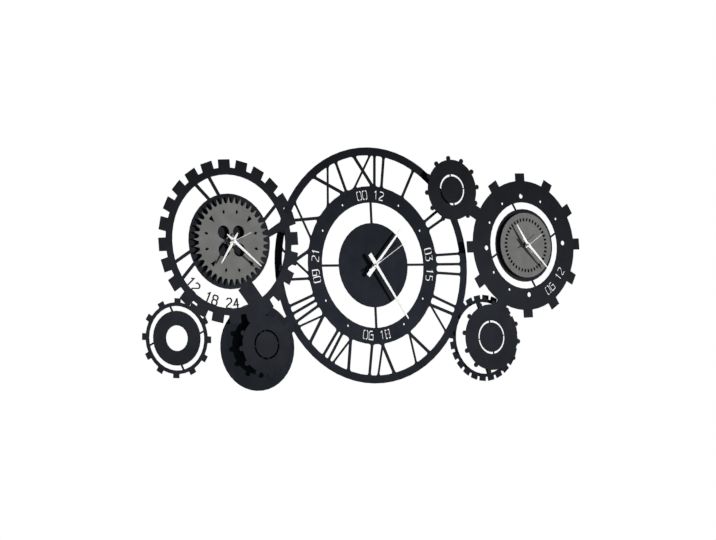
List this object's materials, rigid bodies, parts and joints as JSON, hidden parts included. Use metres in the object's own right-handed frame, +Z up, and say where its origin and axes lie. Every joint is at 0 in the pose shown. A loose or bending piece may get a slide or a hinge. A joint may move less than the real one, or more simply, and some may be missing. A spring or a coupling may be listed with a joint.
{
  "type": "world time wall clock",
  "caption": "Black sheet-metal wall clock: a large Roman dial between gear-shaped side dials, each with its own quartz movement and white hands",
  "frame": {"origin": "on the wall plane, straight behind the centre of the large dial", "axes": "+X right as the viewer sees it, +Z up, +Y into the wall; the dials face -Y"},
  "size_m": [1.1418, 0.0568, 0.5052],
  "materials": {
    "black_paint": "matte",
    "grey_paint": "matte",
    "white_paint": "satin",
    "black_plastic": "matte",
    "pale_plastic": "satin",
    "rubber": "matte",
    "black_steel": "satin",
    "zinc_steel": "satin",
    "copper_wire": "gloss",
    "cell_sleeve": "gloss"
  },
  "bodies": {
    "frame": {"main_dial_plate": "black_paint", "left_gear_plate": "black_paint", "right_gear_plate": "black_paint", "left_dial_gear": "grey_paint", "right_dial_disc": "grey_paint", "left_stud_nut_1": "zinc_steel", "left_stud_nut_2": "zinc_steel", "left_stud_nut_3": "zinc_steel", "right_stud_nut_1": "zinc_steel", "right_stud_nut_2": "zinc_steel", "right_stud_nut_3": "zinc_steel", "left_hanger": "black_steel", "right_hanger": "black_steel", "centre_wall_foot": "rubber", "left_wall_foot": "rubber", "right_wall_foot": "rubber", "main_movement_case": "black_plastic", "main_movement_lid": "black_plastic", "main_battery": "cell_sleeve", "main_drive_coil": "copper_wire", "main_washer": "rubber", "main_bush_nut": "black_steel", "left_dial_spacer": "black_plastic", "left_movement_case": "black_plastic", "left_movement_lid": "black_plastic", "left_battery": "cell_sleeve", "left_drive_coil": "copper_wire", "left_washer": "rubber", "left_bush_nut": "black_steel", "right_dial_spacer": "black_plastic", "right_movement_case": "black_plastic", "right_movement_lid": "black_plastic", "right_battery": "cell_sleeve", "right_drive_coil": "copper_wire", "right_washer": "rubber", "right_bush_nut": "black_steel"},
    "main_hour": {"main_hour_hand": "white_paint", "main_hour_wheel": "pale_plastic"},
    "main_minute": {"main_minute_hand": "white_paint", "main_minute_wheel": "pale_plastic"},
    "main_second": {"main_second_hand": "white_paint", "main_second_wheel": "pale_plastic"},
    "main_setting": {"main_setting_knob": "pale_plastic", "main_motion_wheel": "pale_plastic"},
    "left_hour": {"left_hour_hand": "white_paint", "left_hour_wheel": "pale_plastic"},
    "left_minute": {"left_minute_hand": "white_paint", "left_minute_wheel": "pale_plastic"},
    "left_second": {"left_second_hand": "white_paint", "left_second_wheel": "pale_plastic"},
    "left_setting": {"left_setting_knob": "pale_plastic", "left_motion_wheel": "pale_plastic"},
    "right_hour": {"right_hour_hand": "white_paint", "right_hour_wheel": "pale_plastic"},
    "right_minute": {"right_minute_hand": "white_paint", "right_minute_wheel": "pale_plastic"},
    "right_second": {"right_second_hand": "white_paint", "right_second_wheel": "pale_plastic"},
    "right_setting": {"right_setting_knob": "pale_plastic", "right_motion_wheel": "pale_plastic"}
  },
  "joints": [
    {"name": "main_minute_turn", "type": "hinge", "parent": "frame", "child": "main_minute", "pos_m": [0, -0.03, 0], "axis": [0, 1, 0], "continuous": true},
    {"name": "main_hour_turn", "type": "hinge", "parent": "frame", "child": "main_hour", "pos_m": [0, -0.03, 0], "axis": [0, 1, 0], "continuous": true},
    {"name": "main_second_turn", "type": "hinge", "parent": "frame", "child": "main_second", "pos_m": [0, -0.03, 0], "axis": [0, 1, 0], "continuous": true},
    {"name": "main_setting_turn", "type": "hinge", "parent": "frame", "child": "main_setting", "pos_m": [-0.00946, -0.01, 0.00739], "axis": [0, 1, 0], "continuous": true},
    {"name": "left_minute_turn", "type": "hinge", "parent": "frame", "child": "left_minute", "pos_m": [-0.36638, -0.03, 0.05019], "axis": [0, 1, 0], "continuous": true},
    {"name": "left_hour_turn", "type": "hinge", "parent": "frame", "child": "left_hour", "pos_m": [-0.36638, -0.03, 0.05019], "axis": [0, 1, 0], "continuous": true},
    {"name": "left_second_turn", "type": "hinge", "parent": "frame", "child": "left_second", "pos_m": [-0.36638, -0.03, 0.05019], "axis": [0, 1, 0], "continuous": true},
    {"name": "left_setting_turn", "type": "hinge", "parent": "frame", "child": "left_setting", "pos_m": [-0.37583, -0.024, 0.05758], "axis": [0, 1, 0], "continuous": true},
    {"name": "right_minute_turn", "type": "hinge", "parent": "frame", "child": "right_minute", "pos_m": [0.40227, -0.03, 0.03944], "axis": [0, 1, 0], "continuous": true},
    {"name": "right_hour_turn", "type": "hinge", "parent": "frame", "child": "right_hour", "pos_m": [0.40227, -0.03, 0.03944], "axis": [0, 1, 0], "continuous": true},
    {"name": "right_second_turn", "type": "hinge", "parent": "frame", "child": "right_second", "pos_m": [0.40227, -0.03, 0.03944], "axis": [0, 1, 0], "continuous": true},
    {"name": "right_setting_turn", "type": "hinge", "parent": "frame", "child": "right_setting", "pos_m": [0.39282, -0.024, 0.04683], "axis": [0, 1, 0], "continuous": true}
  ],
  "couplings": [
    {"joint": "main_hour_turn", "follows": "main_minute_turn", "ratio": 0.083333},
    {"joint": "main_setting_turn", "follows": "main_minute_turn", "ratio": -0.33333},
    {"joint": "left_hour_turn", "follows": "left_minute_turn", "ratio": 0.083333},
    {"joint": "left_setting_turn", "follows": "left_minute_turn", "ratio": -0.33333},
    {"joint": "right_hour_turn", "follows": "right_minute_turn", "ratio": 0.083333},
    {"joint": "right_setting_turn", "follows": "right_minute_turn", "ratio": -0.33333}
  ]
}
